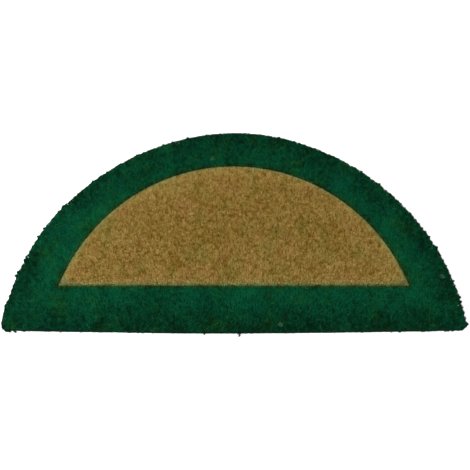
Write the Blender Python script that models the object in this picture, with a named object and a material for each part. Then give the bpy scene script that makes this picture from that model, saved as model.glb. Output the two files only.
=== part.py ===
"""Half-round coir doormat: a natural half-round field let into a green border of even width.

Frame: X runs along the straight edge, +Y from the straight edge to the crown of the arc, +Z up.
The origin lies on the floor, under the middle of the mat's bounding box.
"""

import math
import random
from collections import namedtuple

import bmesh
import bpy
from mathutils import Vector
from mathutils.geometry import delaunay_2d_cdt

# Overall sizes, in metres
WIDTH = 0.750
DEPTH = 0.400
THICKNESS = 0.018

# The straight edge bulges by this much at its middle, and the two corners are rounded
FRONT_BOW = 0.003
CORNER_RADIUS = 0.012

# The border's width, and the butt joint between border and field
BORDER_WIDTH = 0.078
JOINT_GAP = 0.0003
JOINT_BEVEL_WIDTH = 0.0015
JOINT_BEVEL_DEPTH = 0.0032

# Stations along the outline, two to each tuft of the rim
ARC_TUFTS = 124
CHORD_TUFTS = 76

# Tufts of the ragged rim: how far one may fall short of the outline, and its hollow beside it
TUFT_SHORT = 0.0012
TUFT_HOLLOW = 0.0038
# Rows of pile run along X, so the rim is more ragged where the outline cuts across them
RAGGED_ALONG_ROWS = 0.45

# How far the hand-trimmed edge runs inside the even outline, at even steps along each side:
# the straight side from left to right, then the arc from right to left
CHORD_TRIM = (0.0005, 0.0003, 0.0000, -0.0010, -0.0010, -0.0005, 0.0000, 0.0006, 0.0006)
ARC_TRIM = (
    0.0002, 0.0001, 0.0000, 0.0003, 0.0008, 0.0002, -0.0001, -0.0022, -0.0027,
    -0.0016, 0.0001, 0.0012, 0.0015, -0.0005, 0.0000, 0.0015, 0.0012,
)

# The sheared top: the spacing of its lumps, and how much they rise and fall
LUMP_PITCH = 0.0135
LUMP_DRIFT = 0.30
LUMP_HEIGHT = 0.0006

# Fine steps along a curve before its stations are spaced out, and degrees between points of a corner
CURVE_STEPS = 1200
CORNER_STEP = 5
# Edges of the panels that turn by more than this, in degrees, stay crisp
SHARP_ANGLE = 50
SEED = 11

Section = namedtuple("Section", "height inset raggedness")

# The rim's wall, from the floor up: the pile splays out from the woven base and rounds over
RIM_WALL = (
    Section(height=0.0000, inset=0.0048, raggedness=0.25),
    Section(height=0.0045, inset=0.0030, raggedness=0.50),
    Section(height=0.0095, inset=0.0008, raggedness=1.00),
    Section(height=0.0130, inset=0.0000, raggedness=1.00),
    Section(height=0.0158, inset=0.0022, raggedness=0.75),
    Section(height=0.0171, inset=0.0062, raggedness=0.30),
)
RIM_SHOULDER = Section(height=0.0177, inset=0.0125, raggedness=0.0)

Finish = namedtuple("Finish", "name colour roughness")
GREEN_COIR = Finish(name="green coir", colour=(0.003, 0.047, 0.019), roughness=0.92)
NATURAL_COIR = Finish(name="natural coir", colour=(0.21, 0.13, 0.03), roughness=0.92)

ARC_DEPTH = DEPTH - FRONT_BOW
HALF_WIDTH = WIDTH / 2
CORNER_X = HALF_WIDTH * math.sqrt(1 - (CORNER_RADIUS / ARC_DEPTH) ** 2) - CORNER_RADIUS


def remove_startup_objects():
    """Empty the scene that Blender opens with."""
    for scene_object in list(bpy.data.objects):
        bpy.data.objects.remove(scene_object)


def inset_arc(inset):
    """The half-ellipse moved inwards by inset, right to left, down to the line y = inset."""
    points = []
    for step in range(CURVE_STEPS + 1):
        angle = math.pi * step / CURVE_STEPS
        on_curve = Vector((HALF_WIDTH * math.cos(angle), ARC_DEPTH * math.sin(angle)))
        outward = Vector((math.cos(angle) / HALF_WIDTH, math.sin(angle) / ARC_DEPTH)).normalized()
        moved = on_curve - inset * outward
        if moved.y >= inset:
            points.append(moved)
    return points


def corner_round(first, last):
    """Points on the right corner's round, from one angle to another in degrees."""
    centre = Vector((CORNER_X, CORNER_RADIUS))
    angles = [math.radians(degrees) for degrees in range(first, last + 1, CORNER_STEP)]
    return [centre + CORNER_RADIUS * Vector((math.cos(angle), math.sin(angle))) for angle in angles]


def mirrored(points):
    """The points on the mat's other half, in the order that goes on round the outline."""
    return [Vector((-point.x, point.y)) for point in reversed(points)]


def rounded_arc():
    """The rim's arc with the upper half of each corner's round at its ends, right to left."""
    upper_round = corner_round(-45, -CORNER_STEP)
    arc = [point for point in inset_arc(0.0) if point.y >= CORNER_RADIUS]
    return upper_round + arc + mirrored(upper_round)


def rounded_chord():
    """The rim's bowed edge with the lower half of each corner's round at its ends, left to right."""
    lower_round = corner_round(-90, -45)
    bowed = []
    for step in range(1, CURVE_STEPS):
        share = 2 * step / CURVE_STEPS - 1
        bowed.append(Vector((CORNER_X * share, -FRONT_BOW * (1 - share**2))))
    return mirrored(lower_round) + bowed + lower_round


def evenly_spaced(points, count):
    """count points at even steps along a run of points. The run's last point is left out."""
    lengths = [0.0]
    for start, end in zip(points, points[1:]):
        lengths.append(lengths[-1] + (end - start).length)
    spaced = []
    piece = 0
    for step in range(count):
        wanted = lengths[-1] * step / count
        while lengths[piece + 1] < wanted:
            piece += 1
        share = (wanted - lengths[piece]) / (lengths[piece + 1] - lengths[piece])
        spaced.append(points[piece].lerp(points[piece + 1], share))
    return spaced


def joint_outline():
    """The line between field and border: the inset arc closed by a chord, one station a tuft."""
    arc = inset_arc(BORDER_WIDTH)
    chord = [arc[-1].lerp(arc[0], step / CURVE_STEPS) for step in range(CURVE_STEPS + 1)]
    return evenly_spaced(chord, CHORD_TUFTS) + evenly_spaced(arc, ARC_TUFTS)


def inward_normals(loop):
    """The way into the outline at each station, longer at a corner so that both sides move alike."""
    normals = []
    for index, point in enumerate(loop):
        before = (point - loop[index - 1]).normalized()
        after = (loop[(index + 1) % len(loop)] - point).normalized()
        along = (before + after) / (1 + before.dot(after))
        normals.append(Vector((-along.y, along.x)))
    return normals


def moved_inwards(loop, distances):
    """The outline with each station moved inwards by its own distance."""
    return [
        point + distance * normal
        for point, normal, distance in zip(loop, inward_normals(loop), distances)
    ]


def trims_along(side, count):
    """A side's trim at count even steps along it, each between its two nearest values."""
    trims = []
    for step in range(count):
        place = step / count * (len(side) - 1)
        before = int(place)
        trims.append(side[before] + (place - before) * (side[before + 1] - side[before]))
    return trims


def rim_outline(per_tuft):
    """The rim as trimmed, anticlockwise from the left corner, with per_tuft stations to each tuft."""
    chord = evenly_spaced(rounded_chord(), CHORD_TUFTS * per_tuft)
    arc = evenly_spaced(rounded_arc(), ARC_TUFTS * per_tuft)
    trims = trims_along(CHORD_TRIM, len(chord)) + trims_along(ARC_TRIM, len(arc))
    return moved_inwards(chord + arc, trims)


def rim_shortfalls(loop, chance):
    """How far each station of the rim falls short of the outline, tuft and hollow in turn."""
    shortfalls = []
    for index, normal in enumerate(inward_normals(loop)):
        across_rows = RAGGED_ALONG_ROWS + (1 - RAGGED_ALONG_ROWS) * abs(normal.x)
        if index % 2:
            short = chance.uniform(TUFT_SHORT, TUFT_HOLLOW)
        else:
            short = chance.uniform(0.0, TUFT_SHORT)
        shortfalls.append(short * across_rows)
    return shortfalls


def add_loop(bm, points, height):
    """A closed loop of edges at one height, as its vertices."""
    verts = [bm.verts.new((point.x, point.y, height)) for point in points]
    for index, vert in enumerate(verts):
        bm.edges.new((verts[index - 1], vert))
    return verts


def loop_edges(bm, verts):
    """The edges of a closed loop of vertices."""
    return [bm.edges.get((verts[index - 1], vert)) for index, vert in enumerate(verts)]


def bridge(bm, lower, upper):
    """Close the wall between two loops."""
    bmesh.ops.bridge_loops(bm, edges=loop_edges(bm, lower) + loop_edges(bm, upper))


def lump_points(loops, chance):
    """A drifting grid of points over the loops, none of them close to a loop."""
    low_x, high_x = min(v.co.x for v in loops[0]), max(v.co.x for v in loops[0])
    low_y, high_y = min(v.co.y for v in loops[0]), max(v.co.y for v in loops[0])
    edge_points = [vert.co.xy for loop in loops for vert in loop]
    clearance = LUMP_PITCH / 2
    points = []
    for row in range(int((high_y - low_y) / LUMP_PITCH) + 1):
        for column in range(int((high_x - low_x) / LUMP_PITCH) + 1):
            offset = 0.5 * (row % 2)
            point = Vector((
                low_x + (column + offset + chance.uniform(-LUMP_DRIFT, LUMP_DRIFT)) * LUMP_PITCH,
                low_y + (row + chance.uniform(-LUMP_DRIFT, LUMP_DRIFT)) * LUMP_PITCH,
            ))
            if all((point - edge).length > clearance for edge in edge_points):
                points.append(point)
    return points


def fill(bm, loops, inner_points, heights):
    """Triangulate the area inside the first loop and outside any other, through inner_points."""
    known = [vert for loop in loops for vert in loop]
    places = [vert.co.xy for vert in known] + inner_points
    outlines = []
    for loop in loops:
        first = sum(len(outline) for outline in outlines)
        outlines.append(list(range(first, first + len(loop))))
    inside_outlines = 1
    smallest = 1e-7
    found, _, faces, sources, _, regions = delaunay_2d_cdt(
        places, [], outlines, inside_outlines, smallest
    )
    added = {}
    for face, region in zip(faces, regions):
        if list(region) != [0]:
            continue
        corners = []
        for index in face:
            source = sources[index][0]
            if source < len(known):
                corners.append(known[source])
                continue
            if index not in added:
                height = heights[source - len(known)]
                added[index] = bm.verts.new((found[index].x, found[index].y, height))
            corners.append(added[index])
        bm.faces.new(corners)


def lumpy_top(bm, loops, chance):
    """The sheared top of the pile, with its soft lumps."""
    points = lump_points(loops, chance)
    heights = [THICKNESS + chance.uniform(-LUMP_HEIGHT, 0.0) for _ in points]
    fill(bm, loops, points, heights)


def finished_mesh(bm, name):
    """The closed mesh with its faces pointing out."""
    bmesh.ops.recalc_face_normals(bm, faces=bm.faces)
    mesh = bpy.data.meshes.new(name)
    bm.to_mesh(mesh)
    bm.free()
    mesh.shade_smooth()
    mesh.set_sharp_from_angle(angle=math.radians(SHARP_ANGLE))
    return mesh


def joint_wall(bm, side):
    """A panel's wall at the joint: its floor and top loops. side is 1 on the field, -1 on the border."""
    line = joint_outline()
    upright = moved_inwards(line, [side * JOINT_GAP / 2] * len(line))
    bevelled = moved_inwards(line, [side * (JOINT_GAP / 2 + JOINT_BEVEL_WIDTH)] * len(line))
    floor = add_loop(bm, upright, 0.0)
    brow = add_loop(bm, upright, THICKNESS - JOINT_BEVEL_DEPTH)
    top = add_loop(bm, bevelled, THICKNESS - LUMP_HEIGHT)
    bridge(bm, floor, brow)
    bridge(bm, brow, top)
    return floor, top


def rim_wall(bm, chance):
    """The ragged wall round the mat, as its floor and top loops."""
    outline = rim_outline(per_tuft=2)
    shortfalls = rim_shortfalls(outline, chance)
    loops = []
    for section in RIM_WALL:
        distances = [section.inset + section.raggedness * short for short in shortfalls]
        loops.append(add_loop(bm, moved_inwards(outline, distances), section.height))
    coarse = rim_outline(per_tuft=1)
    shoulder = moved_inwards(coarse, [RIM_SHOULDER.inset] * len(coarse))
    loops.append(add_loop(bm, shoulder, RIM_SHOULDER.height))
    for lower, upper in zip(loops, loops[1:]):
        bridge(bm, lower, upper)
    return loops[0], loops[-1]


def border_mesh():
    """The green border: a half-round frame of pile with a ragged rim."""
    chance = random.Random(SEED)
    bm = bmesh.new()
    rim_floor, rim_top = rim_wall(bm, chance)
    joint_floor, joint_top = joint_wall(bm, side=-1)
    lumpy_top(bm, [rim_top, joint_top], chance)
    fill(bm, [rim_floor, joint_floor], [], [])
    return finished_mesh(bm, "border")


def field_mesh():
    """The natural field: a half-round panel that fills the border's opening."""
    chance = random.Random(SEED + 1)
    bm = bmesh.new()
    joint_floor, joint_top = joint_wall(bm, side=1)
    lumpy_top(bm, [joint_top], chance)
    fill(bm, [joint_floor], [], [])
    return finished_mesh(bm, "field")


def coir_material(finish):
    """A matt fibre surface of the panel's colour."""
    material = bpy.data.materials.new(finish.name)
    material.use_nodes = True
    shader = material.node_tree.nodes["Principled BSDF"]
    shader.inputs["Base Color"].default_value = (*finish.colour, 1.0)
    shader.inputs["Roughness"].default_value = finish.roughness
    shader.inputs["Metallic"].default_value = 0.0
    return material


def middle_of(mesh):
    """The middle of the mesh's bounding box, on the floor."""
    across = [vert.co.x for vert in mesh.vertices]
    deep = [vert.co.y for vert in mesh.vertices]
    return Vector(((min(across) + max(across)) / 2, (min(deep) + max(deep)) / 2, 0.0))


def add_panel(name, mesh, finish, middle):
    """One panel of the mat as an object, with the mat's middle brought over the origin."""
    mesh.materials.append(coir_material(finish))
    panel = bpy.data.objects.new(name, mesh)
    panel.location = -middle
    bpy.context.scene.collection.objects.link(panel)


def main():
    remove_startup_objects()
    border = border_mesh()
    middle = middle_of(border)
    add_panel("border", border, GREEN_COIR, middle)
    add_panel("field", field_mesh(), NATURAL_COIR, middle)


main()
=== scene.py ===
"""The looks of a half-round coir doormat: two woven bases, the sheared pile on them, and a plain stage."""

import math

import bmesh
import bpy
from bpy.props import FloatProperty, FloatVectorProperty, PointerProperty
from mathutils import Matrix, Vector
from mathutils.bvhtree import BVHTree


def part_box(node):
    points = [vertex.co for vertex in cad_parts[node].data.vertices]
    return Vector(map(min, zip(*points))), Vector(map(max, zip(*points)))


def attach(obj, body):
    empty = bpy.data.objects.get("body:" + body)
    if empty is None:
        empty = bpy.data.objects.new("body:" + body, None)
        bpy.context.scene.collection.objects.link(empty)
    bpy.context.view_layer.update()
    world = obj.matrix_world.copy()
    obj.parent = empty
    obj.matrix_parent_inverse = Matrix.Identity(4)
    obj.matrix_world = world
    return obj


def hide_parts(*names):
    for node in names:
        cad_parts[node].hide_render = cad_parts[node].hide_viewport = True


bl_info = {
    "name": "Half-round coir doormat",
    "version": (1, 0, 0),
    "blender": (4, 5, 0),
    "location": "View3D > Sidebar > Doormat",
    "description": "Makes the bases, the sheared pile and the stage of a half-round coir doormat",
    "category": "Object",
}

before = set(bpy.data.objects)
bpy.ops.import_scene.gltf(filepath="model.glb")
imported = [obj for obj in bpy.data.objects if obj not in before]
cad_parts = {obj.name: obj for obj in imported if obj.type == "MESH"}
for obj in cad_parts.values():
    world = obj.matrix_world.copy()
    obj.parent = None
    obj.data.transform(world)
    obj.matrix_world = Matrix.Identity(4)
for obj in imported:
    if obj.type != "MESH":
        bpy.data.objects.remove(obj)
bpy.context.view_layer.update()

# The outline as the solids have it, in metres, as all lengths and places here are
BORDER_LOW, BORDER_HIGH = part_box("border")
FIELD_LOW, FIELD_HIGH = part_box("field")
THICKNESS = BORDER_HIGH.z
BORDER_WIDTH = BORDER_HIGH.y - FIELD_HIGH.y

# Heights at which the distances to the joint's walls and to the rim's are taken
JOINT_HEIGHT = THICKNESS / 3
BROW_HEIGHT = 0.7 * THICKNESS
# A face is upright, level or part of the splayed rim by the upward part of its normal
UPRIGHT = 0.1
LEVEL = 0.9
SPLAYED = 0.8
# How close vertices are taken to be one, how close the base's edge lies to the rim's wall, and how
# close a face of the joint lies to the joint
SAME_PLACE = 1e-6
AT_RIM = 1e-4
AT_JOINT = 0.001

# How far the woven base is set back behind the curved rim at the floor, and behind all of it on top
SET_BACK_BELOW = 0.003
SET_BACK_ABOVE = 0.0035

# The bristles' map: across it lie the dye lots, each from its darkest bristle to its lightest, and up it
# runs the way from the root to the cut end. A bristle's sides lie a side step apart. Painted shade makes it
# darkest up to the root's end, and its tint changes at the cut end over the cut edge.
MAP_NAME = "OFBake"
LOT_SOCKETS = ("First lot", "Second lot", "Third lot", "Mingled lot")
LOTS = float(len(LOT_SOCKETS))
SIDE_STEP = 0.03
ROOT_END = 0.25
CUT_END = 0.9
CUT_EDGE = 0.01

# How much red, green and blue change from a lot's darkest bristle to its lightest, and the least left
NATURAL_CONTRAST = (1.5, 1.9, 4.0)
GREEN_CONTRAST = (0.9, 1.6, 1.6)
STRAY_CONTRAST = (1.0, 1.0, 1.0)
DARKEST = 0.02
# How much the fibres shine
FIBRE_GLOSS = 0.2
DYED_GLOSS = 0.03

# How many waves a metre has in each noise, how the grain is drawn out up a bristle, and how the dye's
# patches are drawn out from the straight edge to the crown
GRAIN_SCALE = 2400.0
HAIR_SCALE = 900.0
ROOT_SCALE = 700.0
SPECK_SCALE = 200.0
SWIRL_SCALE = 90.0
WEAR_SCALE = 40.0
PATCH_SCALE = 32.0
GRAIN_STREAK = (1.0, 1.0, 0.15)
DYE_STREAK = (1.0, 0.7, 1.0)
# What leaves the level part of a vector
IN_PLAN = (1.0, 1.0, 0.0)

# How many bristles are tried for each square of their spacing, before those too close are left out
SCATTER_DENSITY = 3.0
# A root's width as a share of the cut end's: in the sheared top, and on the rim, where more of it shows
SHEARED_ROOT = 0.0
RIM_ROOT = 0.7
# How a bristle's width and length vary, and how much wider it is one way than the other
WIDTH_RANGE = (0.75, 1.25)
LENGTH_RANGE = (0.9, 1.1)
FLATTENED = (1.2, 0.8)
# How a bristle is pushed about, how far a tuft fans out, for each metre from its middle, and how far
# the bristles of the rim fan out over their height
PUSH = Vector((1.0, 1.0, 0.3))
TUFT_FAN = 60.0
RIM_FAN = 0.006
# How high the rim's bristles root and how low they end, and how far in from the rim the matted ones stand
RIM_ROOT_HEIGHT = 0.001
RIM_TIP_LOW = 0.0065
MATTED_WIDTH = 0.013
# How far the rim's tufts stand in or out, as shares of their reach
REACH_SHARES = (-0.48, 0.52)
# How ragged the straight edge is trimmed, as a share of the curved rim's raggedness
FRONT_RAGGEDNESS = 0.4
# Tufts that hang out of the straight edge: where, and how long for their size
LOOSE_TUFTS = (((0.0085, -0.2025, 0.0), 1.0), ((-0.0458, -0.2015, 0.0), 0.5))
LOOSE_WIDTH = 0.0035
# How far above the floor the bristles are kept
FLOOR_GAP = 0.0003

# Where painted shade and light change: painted shade in the groove at the joint, along the trimmed edge and
# over the arc's crown, and painted light on the far left
GROOVE_WIDTH = 0.0022
EDGE_SHADE_WIDTH = 0.004
CROWN_START = 0.03
CROWN_END = 0.15
LEFT_START = -0.10
LEFT_END = -0.23
# What the rest of the mat gets of the far left's painted light
REST_LIGHT = -0.15
# How a bristle's dye lot is drawn: its own chance, the speck's share and the width of the draw, and how
# far from the joint it may be a mingled one, as shares of the mingled width
LOT_CHANCE = 0.4
SPECK_LOT = 0.3
LOT_RANGE = 1.2
MINGLED_RANGE = (0.5, 1.5)

# How the border's dye lots drift and its painted light and shade change from place to place, and how each
# kind of pile grows, is dyed and has light and shade painted on it. Widths, reaches, spacings, unevenness,
# rounding and what is sunk are lengths. The rest, but for seeds, are shares.
BORDER_DYE_AND_SHADING = {
    "Lot drift": 1.0, "Rim shading": -0.32, "Rim shading width": 0.062,
    "Edge shade": -0.1, "Crown shade": -0.15, "Left light": 0.07,
}
FIELD_PILE = {
    "Spread": 0.09, "Swirl": 0.10, "Unevenness": 0.0003, "Tuft rounding": 0.0007, "Tuft gather": 0.09,
    "Bristle share": 0.02, "Tuft share": 0.15, "Speck share": 0.27, "Patch share": 0.08,
    "Joint shading": 0.26, "Joint shading width": 0.010, "Groove shade": -0.6,
    "Joint lot": -2.4, "Mingled width": 0.0038, "Lot drift": 1.3,
    "Rim shading": 0.20, "Rim shading width": 0.18,
    "Seed": 20,
}
BORDER_PILE = {
    "Spread": 0.11, "Swirl": 0.10, "Unevenness": 0.0004, "Tuft rounding": 0.0007, "Tuft gather": 0.10,
    "Bristle share": 0.04, "Tuft share": 0.10, "Speck share": 0.24, "Patch share": 0.18,
    "Joint shading": -0.33, "Joint shading width": 0.008, "Groove shade": -0.1,
    "Joint lot": 1.5, "Mingled width": 0.0035, **BORDER_DYE_AND_SHADING,
    "Seed": 40,
}
RIM_PILE = {
    "Spread": 0.09, "Swirl": 0.07, "Unevenness": 0.0014, "Tuft rounding": 0.0040, "Tuft gather": 0.25,
    "Reach": 0.0066, "Loose reach": 0.008, "Root height": RIM_ROOT_HEIGHT,
    "Bristle share": 0.12, "Tuft share": 0.10, "Speck share": 0.16, "Patch share": 0.15, **BORDER_DYE_AND_SHADING,
    "Seed": 60,
}
MATTED_PILE = {
    "Spread": 0.10, "Unevenness": 0.001, "Sunk": 0.0016, "Reach": 0.0055, "Root height": RIM_ROOT_HEIGHT,
    "Bristle share": 0.05, "Patch share": 0.15,
    "Lot drift": 1.0, "Rim shading": -0.5, "Rim shading width": 0.062,
    "Seed": 90,
}
STRAY_FIBRES = {
    "Spread": 0.05, "Unevenness": 0.0004, "Bristle share": 0.25, "Patch share": 0.10, "Lot drift": 0.9,
}
LINT = {"Spacing": 0.0011, "Spread": 0.05, "Unevenness": 0.0003, "Bristle share": 0.25, "Seed": 95}

# Stray fibres: how far round they bend and in how many steps, their radius as a share of the bend's,
# how far down the map one side of them lies, and how far in from the rim they stay
STRAY_BEND = math.radians(75)
STRAY_STEPS = 5
STRAY_THICKNESS = 0.028
STRAY_SHADE = 0.3
STRAY_MARGIN = 0.005
# Knots of pale lint on the border: where they lie
LINT_PLACES = ((-0.0398, 0.1372), (0.3432, -0.1035), (0.0734, -0.1884))
LINT_RADIUS = 0.0032

# The stage: half the floor's side, and the lamp
FLOOR_HALF = 6.0
LAMP_SIZE = 1.6
LAMP_PLACE = (-0.9, -0.7, 1.25)
WHITE = (1.0, 1.0, 1.0, 1.0)


def amount(name, description, default, least=0.0, unit="NONE"):
    """A setting that is a number, no less than least."""
    return FloatProperty(name=name, description=description, default=default, min=least, unit=unit)


def sized(name, description, default, least):
    """A setting that is a length."""
    return amount(name, description, default, least, "LENGTH")


def coloured(name, description, default):
    """A setting that is a colour."""
    return FloatVectorProperty(
        name=name, description=description, default=default, subtype="COLOR", min=0.0, max=1.0
    )


class DoormatSizes(bpy.types.PropertyGroup):
    """Sizes of the woven base and of the pile."""

    root_height: sized("Root height", "Height at which the pile leaves the woven base", 0.006, 0.002)
    bed_height: sized("Bed height", "Height of the woven base with the matted roots on it", 0.009, 0.006)
    pile_length: sized("Pile length", "Length of a bristle of the sheared top", 0.0115, 0.001)
    rim_length: sized("Rim length", "Length of a bristle of the splayed rim", 0.0115, 0.001)
    bristle_width: sized("Bristle width", "Radius of a bristle at its cut end", 0.00052, 0.0001)
    field_spacing: sized("Field spacing", "Least distance between bristles of the field", 0.00077, 0.0005)
    border_spacing: sized("Border spacing", "Least distance between bristles of its top", 0.00087, 0.0005)
    rim_spacing: sized("Rim spacing", "Least distance between bristles of the rim", 0.00075, 0.0005)
    tuft_pitch: sized("Tuft pitch", "Distance between the tufts that the bristles stand in", 0.0038, 0.001)
    stray_bend: sized("Stray fibre bend", "Radius on which a loose fibre is bent", 0.006, 0.001)
    border_stray_spacing: sized(
        "Border stray spacing", "Least distance between loose fibres of the border", 0.0125, 0.002
    )
    field_stray_spacing: sized(
        "Field stray spacing", "Least distance between loose fibres of the field", 0.010, 0.002
    )
    yarn_pitch: sized("Yarn pitch", "Distance between the yarns of the woven base", 0.0065, 0.001)


class DoormatColours(bpy.types.PropertyGroup):
    """Colours of the fibres and of the base."""

    natural_olive: coloured("Natural, olive", "The greener fibres of the field", (0.287, 0.205, 0.035))
    natural_tan: coloured("Natural, tan", "Most of the fibres of the field", (0.350, 0.217, 0.041))
    natural_red: coloured("Natural, reddish", "The redder fibres of the field", (0.358, 0.200, 0.043))
    natural_mingled: coloured(
        "Natural, mingled", "Fibres of the field beside the joint, which took on some green dye",
        (0.180, 0.191, 0.057)
    )
    # The roots' own colour, darkened as painted shade for the deep gaps between the bristles
    natural_root_and_shade: coloured("Natural, root", "The bed of the natural pile", (0.12, 0.065, 0.015))
    green_blue: coloured("Green, bluish", "The bluer fibres of the border", (0.002, 0.090, 0.046))
    green_plain: coloured("Green", "Most of the fibres of the border", (0.003, 0.098, 0.038))
    green_yellow: coloured("Green, yellowish", "The yellower fibres of the border", (0.009, 0.109, 0.025))
    green_mingled: coloured(
        "Green, mingled", "Fibres of the border beside the joint, among which lie a few natural ones",
        (0.026, 0.122, 0.026)
    )
    # The roots' own colour, darkened as painted shade for the deep gaps between the bristles
    green_root_and_shade: coloured("Green, root", "The bed of the dyed pile", (0.001, 0.03, 0.014))
    lint: coloured("Lint", "The knots of pale lint that cling to the border", (0.12, 0.29, 0.17))
    stray_sheen: coloured(
        "Stray fibre sheen", "What the loose fibres add to the colour of the pile", (0.035, 0.055, 0.035)
    )
    yarn: coloured("Base yarn", "The coir yarn of the woven base", (0.28, 0.17, 0.07))


class DoormatStage(bpy.types.PropertyGroup):
    """The floor, the lights and the camera."""

    floor_colour: coloured("Floor", "Colour of the plain floor", (0.9, 0.9, 0.9))
    floor_glow: amount("Floor glow", "Light from the floor, which keeps the shadow on it faint", 0.5)
    sky_strength: amount("Sky strength", "Strength of the even light from all round", 0.7)
    lamp_power: amount("Lamp power", "Power of the large soft lamp overhead", 28.0, unit="POWER")
    lens: amount("Lens", "Focal length of the camera, in millimetres", 51.52, least=1.0)
    tilt: FloatProperty(
        name="Tilt", description="Angle of the camera's view below the horizon",
        default=math.radians(59.87), subtype="ANGLE"
    )
    camera_place: FloatVectorProperty(
        name="Camera place", description="Where the camera stands",
        default=(0.0013, -0.6007, 1.0109), subtype="TRANSLATION", unit="LENGTH"
    )


# The solids' surfaces


def node_bmesh(node):
    """A solid's surface as one connected bmesh, free to be cut."""
    bm = bmesh.new()
    bm.from_mesh(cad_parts[node].data)
    bmesh.ops.remove_doubles(bm, verts=bm.verts, dist=SAME_PLACE)
    bm.normal_update()
    return bm


def only_faces(bm, keep):
    """The surface without the faces that keep() turns down."""
    bmesh.ops.delete(bm, geom=[face for face in bm.faces if not keep(face)], context="FACES")
    return bm


def new_object(name, data):
    """An object in the scene, at the origin."""
    made = bpy.data.objects.new(name, data)
    bpy.context.scene.collection.objects.link(made)
    return made


def kept_mesh(bm, name):
    """A bmesh written to a mesh of this name, and freed."""
    mesh = bpy.data.meshes.new(name)
    bm.to_mesh(mesh)
    bm.free()
    return mesh


def wall_tree(node, keep):
    """The faces of a solid that keep() picks, ready to give the distance to them."""
    bm = only_faces(node_bmesh(node), keep)
    tree = BVHTree.FromBMesh(bm)
    bm.free()
    return tree


def nearest_in_plan(place, walls, height):
    """The nearest place on walls and the distance to it, seen from above."""
    location, _, _, distance = walls.find_nearest(Vector((place.x, place.y, height)))
    return location, distance


def joint_distance(place):
    """The distance from a place to the joint, seen from above."""
    return nearest_in_plan(place, JOINT_WALLS, JOINT_HEIGHT)[1]


def rim_distance(place):
    """The distance from a place to the rim's wall, seen from above."""
    return nearest_in_plan(place, RIM_WALLS, BROW_HEIGHT)[1]


def away_from_joint(place):
    """The level way from the joint line to a place."""
    away = place - nearest_in_plan(place, JOINT_WALLS, JOINT_HEIGHT)[0]
    return Vector((away.x, away.y, 0.0)).normalized()


def is_upright(face):
    """Whether a face is an upright wall."""
    return abs(face.normal.z) < UPRIGHT


def is_underside(face):
    """Whether a face belongs to the flat underside."""
    return face.normal.z < -LEVEL


def is_outside(face):
    """Whether a face lies in the outer half of the border."""
    return joint_distance(face.calc_center_median()) > BORDER_WIDTH / 2


def is_joint_wall(face):
    """Whether a face is the upright wall at the joint, below its bevel."""
    return is_upright(face) and joint_distance(face.calc_center_median()) < AT_JOINT


def is_rim(face):
    """Whether a face of the border belongs to its splayed rim and not to its sheared top."""
    return is_outside(face) and face.normal.z < SPLAYED


def is_near_rim(face):
    """Whether a face of the border lies on the upper part of its rim or close beside it."""
    middle = face.calc_center_median()
    return middle.z > THICKNESS / 2 and rim_distance(middle) < MATTED_WIDTH


def is_clear_of_rim(face):
    """Whether a face belongs to the sheared top, further in than the stray fibres are long."""
    return not is_rim(face) and rim_distance(face.calc_center_median()) > STRAY_MARGIN


JOINT_WALLS = wall_tree("field", is_upright)
RIM_WALLS = wall_tree("border", lambda face: abs(face.normal.z) < LEVEL and is_outside(face))


def tip_surface(node, on_rim=False):
    """The surface on which a panel's bristles end, with what the pile asks of each place on it.

    That is the distances to the joint and the rim, the place that settles a bristle's tuft, and the level
    way in which it splays. Along the rim, one tuft takes in the full height of the wall.
    """
    bm = only_faces(node_bmesh(node), lambda face: not is_underside(face) and not is_joint_wall(face))
    from_joint = bm.verts.layers.float.new("from_joint")
    from_rim = bm.verts.layers.float.new("from_rim")
    tuft_place = bm.verts.layers.float_vector.new("tuft_place")
    outward = bm.verts.layers.float_vector.new("outward")
    for vert in bm.verts:
        at_wall, vert[from_rim] = nearest_in_plan(vert.co, RIM_WALLS, BROW_HEIGHT)
        vert[from_joint] = joint_distance(vert.co)
        vert[tuft_place] = at_wall if on_rim else vert.co
        away = away_from_joint(vert.co)
        vert[outward] = away.dot(vert.normal) * away
    return bm


def all_parts(bm):
    """The vertices, edges and faces of a bmesh."""
    return bm.verts[:] + bm.edges[:] + bm.faces[:]


def cut_off(bm, place, way):
    """The surface cut through at a place, without what lies the given way from there."""
    bmesh.ops.bisect_plane(bm, geom=all_parts(bm), plane_co=place, plane_no=way, clear_outer=True)
    return bm


def flat_area(node):
    """The area of a solid's flat underside, in square metres."""
    bm = node_bmesh(node)
    area = sum(face.calc_area() for face in bm.faces if is_underside(face))
    bm.free()
    return area


def base_mesh(node, height):
    """The woven base under a panel's pile: its flat underside drawn up, and set back behind the rim."""
    bm = only_faces(node_bmesh(node), is_underside)
    grown = bmesh.ops.extrude_face_region(bm, geom=bm.faces[:], use_keep_orig=True)
    raised = [item for item in grown["geom"] if isinstance(item, bmesh.types.BMVert)]
    bmesh.ops.translate(bm, verts=raised, vec=(0.0, 0.0, height))
    for vert in bm.verts:
        if nearest_in_plan(vert.co, RIM_WALLS, 0.0)[1] < AT_RIM:
            away = away_from_joint(vert.co)
            below = SET_BACK_BELOW * (1.0 - max(0.0, -away.y))
            vert.co -= (SET_BACK_ABOVE if vert.co.z > height / 2 else below) * away
    bmesh.ops.recalc_face_normals(bm, faces=bm.faces)
    for face in bm.faces:
        face.material_index = int(is_underside(face))
    return kept_mesh(bm, node + "_base")


# Single nodes


def add_node(tree, kind, inputs=None, **settings):
    """The outputs of a new node, with its own settings, and its inputs set or linked by name or number."""
    node = tree.nodes.new(kind)
    for name, value in settings.items():
        setattr(node, name, value)
    for key, value in (inputs or {}).items():
        if isinstance(value, bpy.types.NodeSocket):
            tree.links.new(value, node.inputs[key])
        else:
            node.inputs[key].default_value = value
    return node.outputs


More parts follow.
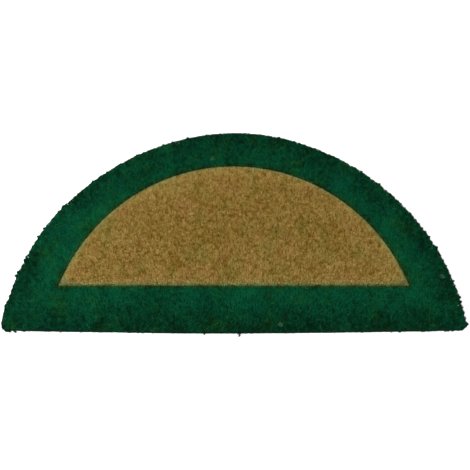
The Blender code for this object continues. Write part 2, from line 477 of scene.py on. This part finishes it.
def maths(tree, operation, *values):
    """The output of one Math node."""
    return add_node(tree, "ShaderNodeMath", dict(enumerate(values)), operation=operation)[0]


def times(tree, first, second):
    """One number times another."""
    return maths(tree, "MULTIPLY", first, second)


def with_share(tree, number, other, share):
    """A number with a share of another added to it."""
    return maths(tree, "ADD", number, times(tree, other, share))


def vectors(tree, operation, *values, output="Vector"):
    """The output of one Vector Math node."""
    inputs = dict(enumerate(values))
    return add_node(tree, "ShaderNodeVectorMath", inputs, operation=operation)[output]


def scaled(tree, vector, factor):
    """A vector times a number."""
    inputs = {0: vector, "Scale": factor}
    return add_node(tree, "ShaderNodeVectorMath", inputs, operation="SCALE")[0]


def split(tree, vector):
    """The X, Y and Z of a vector."""
    return add_node(tree, "ShaderNodeSeparateXYZ", {0: vector})


def joined(tree, x=0.0, y=0.0, z=0.0):
    """The vector with this X, Y and Z."""
    return add_node(tree, "ShaderNodeCombineXYZ", {"X": x, "Y": y, "Z": z})[0]


def ranged(tree, value, low, high, to_low=0.0, to_high=1.0, smooth=False):
    """A value mapped from one range to another and held within it."""
    kind = "SMOOTHSTEP" if smooth else "LINEAR"
    inputs = {"Value": value, "From Min": low, "From Max": high, "To Min": to_low, "To Max": to_high}
    return add_node(tree, "ShaderNodeMapRange", inputs, interpolation_type=kind)[0]


def blended(tree, factor, first, second):
    """A colour between two colours."""
    return add_node(tree, "ShaderNodeMix", {0: factor, 6: first, 7: second}, data_type="RGBA")[2]


def noise(tree, place, scale, detail=2.0):
    """The value and the colour of one Noise Texture."""
    inputs = {"Vector": place, "Scale": scale, "Detail": detail}
    return add_node(tree, "ShaderNodeTexNoise", inputs)


def noise_about_zero(tree, place, scale):
    """A smooth drift over the mat, as a vector from about -1 to 1."""
    centred = vectors(tree, "SUBTRACT", noise(tree, place, scale)["Color"], (0.5, 0.5, 0.5))
    # Noise seldom leaves its middle by more than a quarter
    return scaled(tree, centred, 4.0)


def random_number(tree, low, high, seed):
    """A number of its own for each bristle."""
    inputs = {2: low, 3: high, "Seed": seed}
    return add_node(tree, "FunctionNodeRandomValue", inputs, data_type="FLOAT")[1]


def named(tree, name, kind="FLOAT"):
    """An attribute that the tip surface or the bristle carries."""
    return add_node(tree, "GeometryNodeInputNamedAttribute", {"Name": name}, data_type=kind)[0]


def stored(tree, geometry, name, value, kind="FLOAT", domain="POINT"):
    """The geometry with a value written on it."""
    inputs = {"Geometry": geometry, "Name": name, "Value": value}
    return add_node(tree, "GeometryNodeStoreNamedAttribute", inputs, data_type=kind, domain=domain)[0]


def moved(tree, geometry, place):
    """The geometry with its points set to a place."""
    inputs = {"Geometry": geometry, "Position": place}
    return add_node(tree, "GeometryNodeSetPosition", inputs)[0]


def new_group(name, kind, inputs, outputs):
    """An empty node group and its two ends, from the names of its sockets under their types."""
    group = bpy.data.node_groups.new(name, kind)
    for way, sockets in (("INPUT", inputs), ("OUTPUT", outputs)):
        for socket, labels in sockets.items():
            for label in labels:
                group.interface.new_socket(name=label, in_out=way, socket_type="NodeSocket" + socket)
    return group, group.nodes.new("NodeGroupInput").outputs, group.nodes.new("NodeGroupOutput").inputs


def shared_group(name, build):
    """A node group that is built the first time it is asked for."""
    return bpy.data.node_groups.get(name) or build()


# Finishes


def with_alpha(colour):
    """A colour with the fourth number that a colour socket takes."""
    return (*colour, 1.0)


def fibre_group():
    """Shader group: a bristle's colour from its dye lot, its tint and the place along it."""
    tree, given, wanted = new_group("Fibre colour", "ShaderNodeTree", {
        "Vector": ("Map", "Place", "Contrast"),
        "Color": LOT_SOCKETS,
        "Float": ("Root shade", "Cut end"),
    }, {"Color": ("Color",)})
    place = split(tree, given["Map"])
    column = times(tree, place["X"], LOTS)
    fibre = given[LOT_SOCKETS[0]]
    for lots_before, socket in enumerate(LOT_SOCKETS[1:], start=1):
        past = maths(tree, "GREATER_THAN", column, float(lots_before))
        fibre = blended(tree, past, fibre, given[socket])
    tint = maths(tree, "SUBTRACT", maths(tree, "FRACT", column), 0.5)
    tint = vectors(tree, "ADD", scaled(tree, given["Contrast"], tint), (1.0, 1.0, 1.0))
    tint = vectors(tree, "MAXIMUM", tint, (DARKEST, DARKEST, DARKEST))
    fibre = vectors(tree, "MULTIPLY", fibre, tint)
    # Painted shade: each bristle is darker toward its root
    rise = ranged(tree, place["Y"], ROOT_END, CUT_END, smooth=True)
    shade = maths(tree, "SUBTRACT", 1.0, given["Root shade"])
    lit = with_share(tree, shade, rise, given["Root shade"])
    cut = ranged(tree, place["Y"], CUT_END, CUT_END + CUT_EDGE)
    lit = with_share(tree, lit, cut, given["Cut end"])
    drawn_out = vectors(tree, "MULTIPLY", given["Place"], GRAIN_STREAK)
    grain = ranged(tree, noise(tree, drawn_out, GRAIN_SCALE)[0], 0.35, 0.65, 0.7, 1.3)
    lit = times(tree, lit, grain)
    tree.links.new(scaled(tree, fibre, lit), wanted["Color"])
    return tree


def weave_group():
    """Shader group: a plain weave of thick yarns on Object coordinates, as a height and a shade."""
    tree, given, wanted = new_group("Plain weave", "ShaderNodeTree", {
        "Vector": ("Vector",), "Float": ("Pitch",)
    }, {"Float": ("Height", "Shade")})
    place = split(tree, given["Vector"])
    turns = maths(tree, "DIVIDE", math.pi, given["Pitch"])
    along = maths(tree, "SINE", times(tree, place["X"], turns))
    across = maths(tree, "SINE", times(tree, place["Y"], turns))
    # A yarn lies over the others in every second square, and its edge is a little rounded
    over = ranged(tree, times(tree, along, across), -0.1, 0.1, smooth=True)
    under = maths(tree, "SUBTRACT", 1.0, over)
    first = times(tree, maths(tree, "ABSOLUTE", along), over)
    second = times(tree, maths(tree, "ABSOLUTE", across), under)
    height = maths(tree, "ADD", first, second)
    hairs = noise(tree, given["Vector"], HAIR_SCALE, detail=3.0)[0]
    height = with_share(tree, height, hairs, 0.35)
    tree.links.new(height, wanted["Height"])
    tree.links.new(ranged(tree, height, 0.1, 1.2, 0.35, 1.1), wanted["Shade"])
    return tree


def new_material(name, roughness, gloss):
    """A material, its node tree and the inputs of its Principled shader."""
    material = bpy.data.materials.new(name)
    material.use_nodes = True
    shader = material.node_tree.nodes["Principled BSDF"].inputs
    shader["Roughness"].default_value = roughness
    shader["Specular IOR Level"].default_value = gloss
    return material, material.node_tree, shader


def object_place(tree):
    """The place on the piece that a pattern follows."""
    return add_node(tree, "ShaderNodeTexCoord")["Object"]


def roughened(tree, shader, height, depth):
    """Give a shader the bumps that a height makes."""
    bump = add_node(tree, "ShaderNodeBump", {"Height": height, "Distance": depth})
    tree.links.new(bump[0], shader["Normal"])


def fibre_material(name, lots, contrast, gloss):
    """Bristles of a few dye lots, with painted shade at the root and paler where they are cut, made only
    once.
    """
    if name in bpy.data.materials:
        return bpy.data.materials[name]
    material, tree, shader = new_material(name, roughness=0.75, gloss=gloss)
    fibre = add_node(tree, "ShaderNodeGroup", {
        "Map": add_node(tree, "ShaderNodeUVMap", uv_map=MAP_NAME)[0],
        "Place": object_place(tree),
        "Contrast": contrast,
        "Root shade": 0.45,
        "Cut end": 0.1,
        **{socket: with_alpha(lot) for socket, lot in zip(LOT_SOCKETS, lots)},
    }, node_tree=shared_group("Fibre colour", fibre_group))
    tree.links.new(fibre["Color"], shader["Base Color"])
    return material


def bed_material(name, colour):
    """The matted roots between the bristles, fibrous, and dark with painted shade for the deep gaps in the
    pile.
    """
    material, tree, shader = new_material(name, roughness=0.95, gloss=0.1)
    hairs = noise(tree, object_place(tree), ROOT_SCALE, detail=4.0)[0]
    dark = with_alpha([channel / 4 for channel in colour])
    shade = ranged(tree, hairs, 0.35, 0.7)
    tree.links.new(blended(tree, shade, dark, with_alpha(colour)), shader["Base Color"])
    roughened(tree, shader, hairs, 0.001)
    return material


def back_material(colour, pitch):
    """The underside: a plain weave of coir yarn, a little worn."""
    material, tree, shader = new_material("woven_back", roughness=0.9, gloss=0.2)
    place = object_place(tree)
    pattern = shared_group("Plain weave", weave_group)
    weave = add_node(tree, "ShaderNodeGroup", {"Vector": place, "Pitch": pitch}, node_tree=pattern)
    worn = noise(tree, place, WEAR_SCALE, detail=3.0)[0]
    tone = ranged(tree, worn, 0.3, 0.7, 0.8, 1.15)
    tone = times(tree, tone, weave["Shade"])
    tree.links.new(scaled(tree, tuple(colour), tone), shader["Base Color"])
    roughened(tree, shader, weave["Height"], 0.0015)
    return material


def natural_lots():
    """The dye lots of the natural pile, the mingled one last."""
    tones = bpy.context.scene.doormat_colours
    return [tones.natural_olive, tones.natural_tan, tones.natural_red, tones.natural_mingled]


def green_lots():
    """The dye lots of the green pile, the mingled one last."""
    tones = bpy.context.scene.doormat_colours
    return [tones.green_blue, tones.green_plain, tones.green_yellow, tones.green_mingled]


def green_fibre():
    """The dyed bristles."""
    return fibre_material("green_fibre", green_lots(), GREEN_CONTRAST, DYED_GLOSS)


def stray_material(name, lots):
    """Loose fibres, paler than the pile by a painted sheen added to their colour. None of them is of the
    mingled lot.
    """
    sheen = bpy.context.scene.doormat_colours.stray_sheen
    lots = [[channel + added for channel, added in zip(lot, sheen)] for lot in lots[:-1]]
    return fibre_material(name, lots, STRAY_CONTRAST, FIBRE_GLOSS)


# Bristles


def bristle_mesh(name, root_share):
    """One bristle, three-sided: its cut end at the origin, its root one unit below, root_share as wide."""
    bm = bmesh.new()
    bmesh.ops.create_cone(bm, cap_ends=True, segments=3, radius1=root_share, radius2=1.0, depth=1.0)
    bmesh.ops.translate(bm, verts=bm.verts, vec=(0.0, 0.0, -0.5))
    shape = bm.loops.layers.uv.new("shape")
    for face in bm.faces:
        is_cut = face.normal.z > LEVEL
        for corner, loop in enumerate(face.loops):
            rise = min(loop.vert.co.z + 1.0, CUT_END)
            if is_cut:
                # Its three corners lie a quarter, a half and three quarters of the way up the cut end
                rise = CUT_END + (1.0 - CUT_END) * (1 + corner) / 4
            loop[shape].uv = (corner % 2, rise)
    return kept_mesh(bm, name)


def stray_mesh(name):
    """A loose fibre: a thin three-sided rod bent on a radius of one unit, lying level."""
    bm = bmesh.new()
    upright = Matrix.Translation((1.0, 0.0, 0.0)) @ Matrix.Rotation(math.pi / 2, 4, "X")
    bmesh.ops.create_circle(bm, cap_ends=True, segments=3, radius=STRAY_THICKNESS, matrix=upright)
    bmesh.ops.spin(
        bm, geom=all_parts(bm), cent=(0.0, 0.0, 0.0), axis=(0.0, 0.0, 1.0), angle=STRAY_BEND,
        steps=STRAY_STEPS
    )
    bmesh.ops.recalc_face_normals(bm, faces=bm.faces)
    middle = (math.cos(STRAY_BEND / 2), math.sin(STRAY_BEND / 2))
    bmesh.ops.translate(bm, verts=bm.verts, vec=(-middle[0], -middle[1], 0.0))
    shape = bm.loops.layers.uv.new("shape")
    for face in bm.faces:
        for corner, loop in enumerate(face.loops):
            loop[shape].uv = (corner % 2, CUT_END - STRAY_SHADE * (corner > 1))
    return kept_mesh(bm, name)


def shared_object(name, build, *shape):
    """A bristle that the pile copies, built the first time. It is never linked to the scene."""
    return bpy.data.objects.get(name) or bpy.data.objects.new(name, build(name, *shape))


def stray_fibre():
    """A loose fibre of the pile or of the lint."""
    return shared_object("stray_fibre", stray_mesh)


# The pile


def leaning(tree, given, place, outward, from_middle):
    """The way each bristle points: fanned from the base, and pushed about as pile is."""
    rise = maths(tree, "SUBTRACT", split(tree, place)["Z"], given["Root height"])
    lean = vectors(tree, "ADD", scaled(tree, outward, RIM_FAN), joined(tree, z=rise))
    lean = vectors(tree, "NORMALIZE", lean)
    inputs = {0: -PUSH, 1: PUSH, "Seed": 1}
    push = add_node(tree, "FunctionNodeRandomValue", inputs, data_type="FLOAT_VECTOR")[0]
    lean = vectors(tree, "ADD", lean, scaled(tree, push, given["Spread"]))
    swirl = vectors(tree, "MULTIPLY", noise_about_zero(tree, place, SWIRL_SCALE), IN_PLAN)
    lean = vectors(tree, "ADD", lean, scaled(tree, swirl, given["Swirl"]))
    return vectors(tree, "NORMALIZE", vectors(tree, "ADD", lean, scaled(tree, from_middle, TUFT_FAN)))


def tinting(tree, given, place, tuft):
    """How light each bristle is, from 0 to 1, and its dye lot: by bristle, tuft, patch and place, with
    light and shade painted in by place.
    """
    streaky = vectors(tree, "MULTIPLY", place, DYE_STREAK)
    patch = split(tree, noise_about_zero(tree, streaky, PATCH_SCALE))
    speck = split(tree, noise_about_zero(tree, streaky, SPECK_SCALE))
    across = split(tree, place)
    from_joint = named(tree, "from_joint")
    from_rim = named(tree, "from_rim")
    # Joint shading: a painted highlight on the field beside the joint and painted shade on the border
    # beside it; the same mask also draws the mingled dye lot
    joint = ranged(tree, from_joint, 0.0, given["Joint shading width"], 1.0, 0.0)
    # Rim shading: painted shade that darkens the border toward its rim; on the field it makes the pile
    # lighter toward its edges
    rim = ranged(tree, from_rim, 0.0, given["Rim shading width"], 1.0, 0.0, smooth=True)
    # Painted shade over the arc's crown, less of it where the rim shading lies
    crown = ranged(tree, across["Y"], CROWN_START, CROWN_END, smooth=True)
    tint = 0.5
    for share, value in (
        ("Bristle share", random_number(tree, -1.0, 1.0, seed=2)),
        ("Tuft share", ranged(tree, split(tree, tuft["Color"])["X"], 0.0, 1.0, -1.0, 1.0)),
        ("Speck share", speck["X"]),
        ("Patch share", patch["X"]),
        ("Joint shading", joint),
        # painted shade in the groove at the joint
        ("Groove shade", ranged(tree, from_joint, 0.0, GROOVE_WIDTH, 1.0, 0.0)),
        ("Rim shading", rim),
        # painted shade along the trimmed edge of the rim
        ("Edge shade", ranged(tree, from_rim, 0.0, EDGE_SHADE_WIDTH, 1.0, 0.0)),
        ("Crown shade", times(tree, crown, maths(tree, "SUBTRACT", 1.0, rim))),
        # painted light on the far left
        ("Left light", ranged(tree, across["X"], LEFT_END, LEFT_START, 1.0, REST_LIGHT, smooth=True)),
    ):
        tint = with_share(tree, tint, value, given[share])
    tint = maths(tree, "MAXIMUM", maths(tree, "MINIMUM", tint, 1.0), 0.0)
    lot = random_number(tree, -LOT_CHANCE, LOT_CHANCE, seed=7)
    for share, value in (
        (given["Lot drift"], patch["Y"]),
        (given["Joint lot"], joint),
        (SPECK_LOT, speck["Z"]),
    ):
        lot = with_share(tree, lot, value, share)
    lot = maths(tree, "ROUND", ranged(tree, lot, -LOT_RANGE, LOT_RANGE, 0.0, 2.0))
    mingled = times(tree, given["Mingled width"], random_number(tree, *MINGLED_RANGE, seed=8))
    mingled = maths(tree, "LESS_THAN", from_joint, mingled)
    lot = maths(tree, "MAXIMUM", lot, times(tree, mingled, LOTS - 1.0))
    return tint, lot


def reaching(tree, given, tuft_place, tuft, outward):
    """How far out of the surface each tuft stands, less along the straight edge but for the loose ones."""
    chance = ranged(tree, split(tree, tuft["Color"])["Y"], 0.0, 1.0, *REACH_SHARES)
    reach = times(tree, chance, given["Reach"])
    ragged = ranged(tree, split(tree, outward)["Y"], -1.0, 0.0, FRONT_RAGGEDNESS, 1.0)
    reach = times(tree, reach, ragged)
    for loose_place, size in LOOSE_TUFTS:
        away = vectors(tree, "SUBTRACT", tuft_place, loose_place)
        away = vectors(tree, "LENGTH", away, output="Value")
        loose = ranged(tree, away, LOOSE_WIDTH / 2, LOOSE_WIDTH, size, 0.0)
        reach = with_share(tree, reach, loose, given["Loose reach"])
    return reach


def planting(tree, given, points, tip, along):
    """The bristles, each set at its own tip, turned along its own way, and of its own thickness."""
    facing = add_node(tree, "FunctionNodeAlignRotationToVector", {"Vector": along}, axis="Z")[0]
    spin = add_node(tree, "FunctionNodeAxisAngleToRotation", {
        "Axis": (0.0, 0.0, 1.0),
        "Angle": random_number(tree, 0.0, 2 * math.pi, seed=4),
    })[0]
    turned = add_node(tree, "FunctionNodeRotateRotation", {0: facing, 1: spin}, rotation_space="LOCAL")[0]
    width = times(tree, given["Width"], random_number(tree, *WIDTH_RANGE, seed=5))
    reached = vectors(tree, "LENGTH", along, output="Value")
    height = times(tree, reached, random_number(tree, *LENGTH_RANGE, seed=6))
    wide, narrow = (times(tree, width, share) for share in FLATTENED)
    bristle = add_node(tree, "GeometryNodeObjectInfo", {"Object": given["Bristle"]})["Geometry"]
    planted = add_node(tree, "GeometryNodeInstanceOnPoints", {
        "Points": moved(tree, points, tip),
        "Instance": bristle,
        "Rotation": turned,
        "Scale": joined(tree, wide, narrow, height),
    })[0]
    return add_node(tree, "GeometryNodeRealizeInstances", {"Geometry": planted})[0]


def mapped(tree, solid):
    """The bristles with their place in the map: across by dye lot, tint and side, and up their length."""
    shape = split(tree, named(tree, "shape", "FLOAT_VECTOR"))
    column = ranged(tree, named(tree, "tint"), 0.0, 1.0, SIDE_STEP, 1.0 - 2 * SIDE_STEP)
    column = with_share(tree, column, shape["X"], SIDE_STEP)
    column = maths(tree, "DIVIDE", maths(tree, "ADD", column, named(tree, "lot")), LOTS)
    return stored(tree, solid, MAP_NAME, joined(tree, column, shape["Y"]), "FLOAT2", "CORNER")


def pile_group():
    """Geometry group: bristles whose cut ends lie on the surface that comes in."""
    tree, given, wanted = new_group("Coir pile", "GeometryNodeTree", {
        "Geometry": ("Geometry",),
        "Object": ("Bristle",),
        "Material": ("Finish",),
        "Int": ("Seed",),
        "Float": (
            "Spacing", "Width", "Length", "Root height", "Tuft pitch", "Spread", "Swirl", "Sunk",
            "Unevenness", "Tuft rounding", "Tuft gather", "Reach", "Loose reach", "Bristle share",
            "Tuft share", "Speck share", "Patch share", "Joint shading", "Joint shading width", "Groove shade",
            "Mingled width", "Joint lot", "Lot drift", "Rim shading", "Rim shading width", "Edge shade",
            "Crown shade", "Left light",
        ),
    }, {"Geometry": ("Geometry",)})
    spaced = times(tree, given["Spacing"], given["Spacing"])
    points = add_node(tree, "GeometryNodeDistributePointsOnFaces", {
        "Mesh": given["Geometry"],
        "Distance Min": given["Spacing"],
        "Density Max": maths(tree, "DIVIDE", SCATTER_DENSITY, spaced),
        "Seed": given["Seed"],
    }, distribute_method="POISSON")["Points"]

    place = add_node(tree, "GeometryNodeInputPosition")[0]
    outward = named(tree, "outward", "FLOAT_VECTOR")
    tuft_place = vectors(tree, "MULTIPLY", named(tree, "tuft_place", "FLOAT_VECTOR"), IN_PLAN)
    tuft = add_node(tree, "ShaderNodeTexVoronoi", {
        "Vector": tuft_place,
        "Scale": maths(tree, "DIVIDE", 1.0, given["Tuft pitch"]),
    })
    from_middle = vectors(tree, "SUBTRACT", tuft_place, tuft["Position"])
    out_of_wall = vectors(tree, "DOT_PRODUCT", from_middle, outward, output="Value")
    from_middle = vectors(tree, "SUBTRACT", from_middle, scaled(tree, outward, out_of_wall))
    lean = leaning(tree, given, place, outward, from_middle)
    tint, lot = tinting(tree, given, place, tuft)
    points = stored(tree, points, "tint", tint)
    points = stored(tree, points, "lot", lot)

    rounding = times(tree, tuft["Distance"], tuft["Distance"])
    rounding = times(tree, rounding, given["Tuft rounding"])
    lower = maths(tree, "ADD", rounding, given["Sunk"])
    reach = reaching(tree, given, tuft_place, tuft, outward)
    outward = scaled(tree, outward, maths(tree, "SUBTRACT", reach, lower))
    gather = scaled(tree, from_middle, given["Tuft gather"])
    dip = times(tree, random_number(tree, 0.0, 1.0, seed=3), given["Unevenness"])
    shorter = scaled(tree, lean, maths(tree, "ADD", dip, lower))
    shorter = vectors(tree, "ADD", shorter, gather)
    tip = vectors(tree, "SUBTRACT", vectors(tree, "ADD", place, outward), shorter)
    along = vectors(tree, "ADD", scaled(tree, lean, given["Length"]), outward)
    solid = planting(tree, given, points, tip, along)

    above = split(tree, place)
    height = maths(tree, "MAXIMUM", above["Z"], FLOOR_GAP)
    solid = moved(tree, solid, joined(tree, above["X"], above["Y"], height))
    finish = {"Geometry": mapped(tree, solid), "Material": given["Finish"]}
    solid = add_node(tree, "GeometryNodeSetMaterial", finish)[0]
    tree.links.new(solid, wanted["Geometry"])
    return tree


def add_piece(name, mesh):
    """A piece of the mat as an object at the origin that rides on the only body."""
    piece = new_object(name, mesh)
    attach(piece, "root")
    return piece


def grown_pile(name, surface, settings):
    """A piece of pile: bristles grown from a surface and kept as a plain mesh."""
    sizes = bpy.context.scene.doormat_sizes
    settings = {
        "Bristle": shared_object("sheared_bristle", bristle_mesh, SHEARED_ROOT),
        "Length": sizes.pile_length,
        "Root height": sizes.root_height,
        "Tuft pitch": sizes.tuft_pitch,
        **settings,
    }
    mesh = kept_mesh(surface, name)
    piece = add_piece(name, mesh)
    grower = piece.modifiers.new("pile", "NODES")
    grower.node_group = shared_group("Coir pile", pile_group)
    for item in grower.node_group.interface.items_tree:
        if item.in_out == "INPUT" and item.name in settings:
            grower[item.identifier] = settings[item.name]
    graph = bpy.context.evaluated_depsgraph_get()
    grown = bpy.data.meshes.new_from_object(
        piece.evaluated_get(graph), preserve_all_data_layers=True, depsgraph=graph
    )
    piece.modifiers.clear()
    piece.data = grown
    bpy.data.meshes.remove(mesh)
    grown.name = name
    for spare in ("id", "shape", "tint", "lot", "from_joint", "from_rim", "tuft_place", "outward"):
        if spare in grown.attributes:
            grown.attributes.remove(grown.attributes[spare])
    return piece


def sheared_pile(node, settings):
    """The sheared pile of a panel, in two halves that meet without a seam."""
    for half_name, side in (("left", -1), ("right", 1)):
        surface = cut_off(tip_surface(node), (0.0, 0.0, 0.0), (-side, 0.0, 0.0))
        surface = only_faces(surface, lambda face: not is_rim(face))
        of_half = {**settings, "Seed": settings["Seed"] + side}
        grown_pile(f"{node}_pile_{half_name}", surface, of_half)


def lint_patches():
    """Small level patches on the top of the border, one for each knot of lint."""
    bm = bmesh.new()
    for place in LINT_PLACES:
        level = Matrix.Translation((*place, THICKNESS))
        bmesh.ops.create_circle(bm, cap_ends=True, segments=8, radius=LINT_RADIUS, matrix=level)
    return bm


# The steps


class MakeBases(bpy.types.Operator):
    """Make the woven bases of the border and the field"""

    bl_idname = "doormat.make_bases"
    bl_label = "Woven bases"

    def execute(self, context):
        sizes = context.scene.doormat_sizes
        tones = context.scene.doormat_colours
        back = back_material(tones.yarn, sizes.yarn_pitch)
        for node, slot, colour in (
            ("border", "green_coir", tones.green_root_and_shade),
            ("field", "natural_coir", tones.natural_root_and_shade),
        ):
            base = add_piece(node + "_base", base_mesh(node, sizes.bed_height))
            base.data.materials.append(bed_material(node + "_roots", colour))
            base.data.materials.append(back)
            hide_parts(node)
        return {"FINISHED"}


class MakeFieldPile(bpy.types.Operator):
    """Grow the natural pile of the field, in two halves"""

    bl_idname = "doormat.make_field_pile"
    bl_label = "Field pile"

    def execute(self, context):
        sizes = context.scene.doormat_sizes
        sheared_pile("field", {
            **FIELD_PILE,
            "Finish": fibre_material("natural_fibre", natural_lots(), NATURAL_CONTRAST, FIBRE_GLOSS),
            "Spacing": sizes.field_spacing,
            "Width": sizes.bristle_width,
        })
        return {"FINISHED"}


class MakeBorderPile(bpy.types.Operator):
    """Grow the green pile of the border's top, in two halves"""

    bl_idname = "doormat.make_border_pile"
    bl_label = "Border pile"

    def execute(self, context):
        sizes = context.scene.doormat_sizes
        sheared_pile("border", {
            **BORDER_PILE,
            "Finish": green_fibre(),
            "Spacing": sizes.border_spacing,
            "Width": 1.12 * sizes.bristle_width,
        })
        return {"FINISHED"}


class MakeRimPile(bpy.types.Operator):
    """Grow the longer, splayed bristles of the rim"""

    bl_idname = "doormat.make_rim_pile"
    bl_label = "Rim pile"

    def execute(self, context):
        sizes = context.scene.doormat_sizes
        surface = only_faces(tip_surface("border", on_rim=True), is_rim)
        surface = cut_off(surface, (0.0, 0.0, RIM_TIP_LOW), (0.0, 0.0, -1.0))
        grown_pile("rim_pile", surface, {
            **RIM_PILE,
            "Bristle": shared_object("rim_bristle", bristle_mesh, RIM_ROOT),
            "Finish": green_fibre(),
            "Spacing": sizes.rim_spacing,
            "Width": 0.7 * sizes.bristle_width,
            "Length": sizes.rim_length,
            "Tuft pitch": 2.0 * sizes.tuft_pitch,
        })
        return {"FINISHED"}


class MakeMattedPile(bpy.types.Operator):
    """Grow the short, matted bristles that close the gaps behind the rim"""

    bl_idname = "doormat.make_matted_pile"
    bl_label = "Matted pile"

    def execute(self, context):
        sizes = context.scene.doormat_sizes
        surface = only_faces(tip_surface("border", on_rim=True), is_near_rim)
        grown_pile("rim_matted_pile", surface, {
            **MATTED_PILE,
            "Finish": green_fibre(),
            "Spacing": 1.5 * sizes.rim_spacing,
            "Width": 1.4 * sizes.bristle_width,
            "Tuft pitch": 2.0 * sizes.tuft_pitch,
        })
        return {"FINISHED"}


class MakeStrayFibres(bpy.types.Operator):
    """Lay the loose fibres on both panels"""

    bl_idname = "doormat.make_stray_fibres"
    bl_label = "Stray fibres"

    def execute(self, context):
        sizes = context.scene.doormat_sizes
        for node, slot, fibre, lots, spacing, seed in (
            ("border", "green_coir", "stray_green_fibre", green_lots(), sizes.border_stray_spacing, 70),
            ("field", "natural_coir", "stray_natural_fibre", natural_lots(), sizes.field_stray_spacing, 80),
        ):
            grown_pile(node + "_strays", only_faces(tip_surface(node), is_clear_of_rim), {
                **STRAY_FIBRES,
                "Bristle": stray_fibre(),
                "Finish": stray_material(fibre, lots),
                "Spacing": spacing,
                "Width": sizes.stray_bend,
                "Length": sizes.stray_bend,
                "Tuft pitch": sizes.tuft_pitch / 4,
                "Seed": seed,
            })
        return {"FINISHED"}


class MakeLint(bpy.types.Operator):
    """Lay the knots of pale lint on the border's pile"""

    bl_idname = "doormat.make_lint"
    bl_label = "Lint"

    def execute(self, context):
        sizes = context.scene.doormat_sizes
        tone = context.scene.doormat_colours.lint
        grown_pile("border_lint", lint_patches(), {
            **LINT,
            "Bristle": stray_fibre(),
            "Finish": fibre_material("lint_fibre", (tone, tone, tone), STRAY_CONTRAST, FIBRE_GLOSS),
            "Width": 0.6 * sizes.stray_bend,
            "Length": 0.6 * sizes.stray_bend,
        })
        return {"FINISHED"}


class DeclareSheets(bpy.types.Operator):
    """Work out the areas of the two panels' flat undersides, which are not kept"""

    bl_idname = "doormat.declare_sheets"
    bl_label = "Declare the panels"

    def execute(self, context):
        flat_area("border")
        flat_area("field")
        return {"FINISHED"}


class SetStage(bpy.types.Operator):
    """Lay the plain floor, hang the soft lamp and place the camera"""

    bl_idname = "doormat.set_stage"
    bl_label = "Stage"

    def execute(self, context):
        stage = context.scene.doormat_stage
        lay_floor(stage)
        hang_lamp(stage)
        place_camera(stage)
        context.scene.view_settings.view_transform = "Standard"
        return {"FINISHED"}


def lay_floor(stage):
    """A plain pale floor, much larger than the mat."""
    bm = bmesh.new()
    bmesh.ops.create_grid(bm, x_segments=1, y_segments=1, size=FLOOR_HALF)
    material, _, shader = new_material("floor", roughness=1.0, gloss=0.0)
    shader["Base Color"].default_value = with_alpha(stage.floor_colour)
    shader["Emission Color"].default_value = WHITE
    shader["Emission Strength"].default_value = stage.floor_glow
    floor = new_object("floor", kept_mesh(bm, "floor"))
    floor.data.materials.append(material)


def hang_lamp(stage):
    """Even light from all round, and one large soft lamp overhead."""
    world = bpy.data.worlds.new("studio")
    world.use_nodes = True
    sky = world.node_tree.nodes["Background"].inputs
    sky["Color"].default_value = WHITE
    sky["Strength"].default_value = stage.sky_strength
    bpy.context.scene.world = world
    light = bpy.data.lights.new("overhead", "AREA")
    light.shape = "DISK"
    light.size = LAMP_SIZE
    light.energy = stage.lamp_power
    lamp = new_object("overhead", light)
    lamp.location = LAMP_PLACE
    lamp.rotation_euler = (-lamp.location).to_track_quat("-Z", "Y").to_euler()


def place_camera(stage):
    """The camera, in front of the straight edge and looking down at the mat."""
    data = bpy.data.cameras.new("camera")
    data.lens = stage.lens
    camera = new_object("camera", data)
    camera.location = stage.camera_place
    camera.rotation_euler = (math.pi / 2 - stage.tilt, 0.0, 0.0)
    bpy.context.scene.camera = camera


OPERATORS = (
    MakeBases, MakeFieldPile, MakeBorderPile, MakeRimPile, MakeMattedPile, MakeStrayFibres, MakeLint,
    DeclareSheets, SetStage,
)


class DoormatPanel(bpy.types.Panel):
    """The doormat's steps and settings"""

    bl_idname = "VIEW3D_PT_doormat"
    bl_label = "Doormat"
    bl_space_type = "VIEW_3D"
    bl_region_type = "UI"
    bl_category = "Doormat"

    def draw(self, context):
        for operator in OPERATORS:
            self.layout.operator(operator.bl_idname)
        for settings in SETTINGS:
            group = getattr(context.scene, settings)
            for name in group.__annotations__:
                self.layout.prop(group, name)


SETTINGS = {
    "doormat_sizes": DoormatSizes,
    "doormat_colours": DoormatColours,
    "doormat_stage": DoormatStage,
}
CLASSES = (*SETTINGS.values(), *OPERATORS, DoormatPanel)


def register():
    """Add the classes to Blender and the settings to the scene."""
    for made in CLASSES:
        bpy.utils.register_class(made)
    for name, group in SETTINGS.items():
        setattr(bpy.types.Scene, name, PointerProperty(type=group))


def unregister():
    """Take the settings off the scene and the classes out of Blender."""
    for name in SETTINGS:
        delattr(bpy.types.Scene, name)
    for made in reversed(CLASSES):
        bpy.utils.unregister_class(made)


def main():
    """Make the whole mat and its stage."""
    register()
    bpy.ops.doormat.make_bases()
    bpy.ops.doormat.make_field_pile()
    bpy.ops.doormat.make_border_pile()
    bpy.ops.doormat.make_rim_pile()
    bpy.ops.doormat.make_matted_pile()
    bpy.ops.doormat.make_stray_fibres()
    bpy.ops.doormat.make_lint()
    bpy.ops.doormat.declare_sheets()
    bpy.ops.doormat.set_stage()


if __name__ == "__main__":
    main()
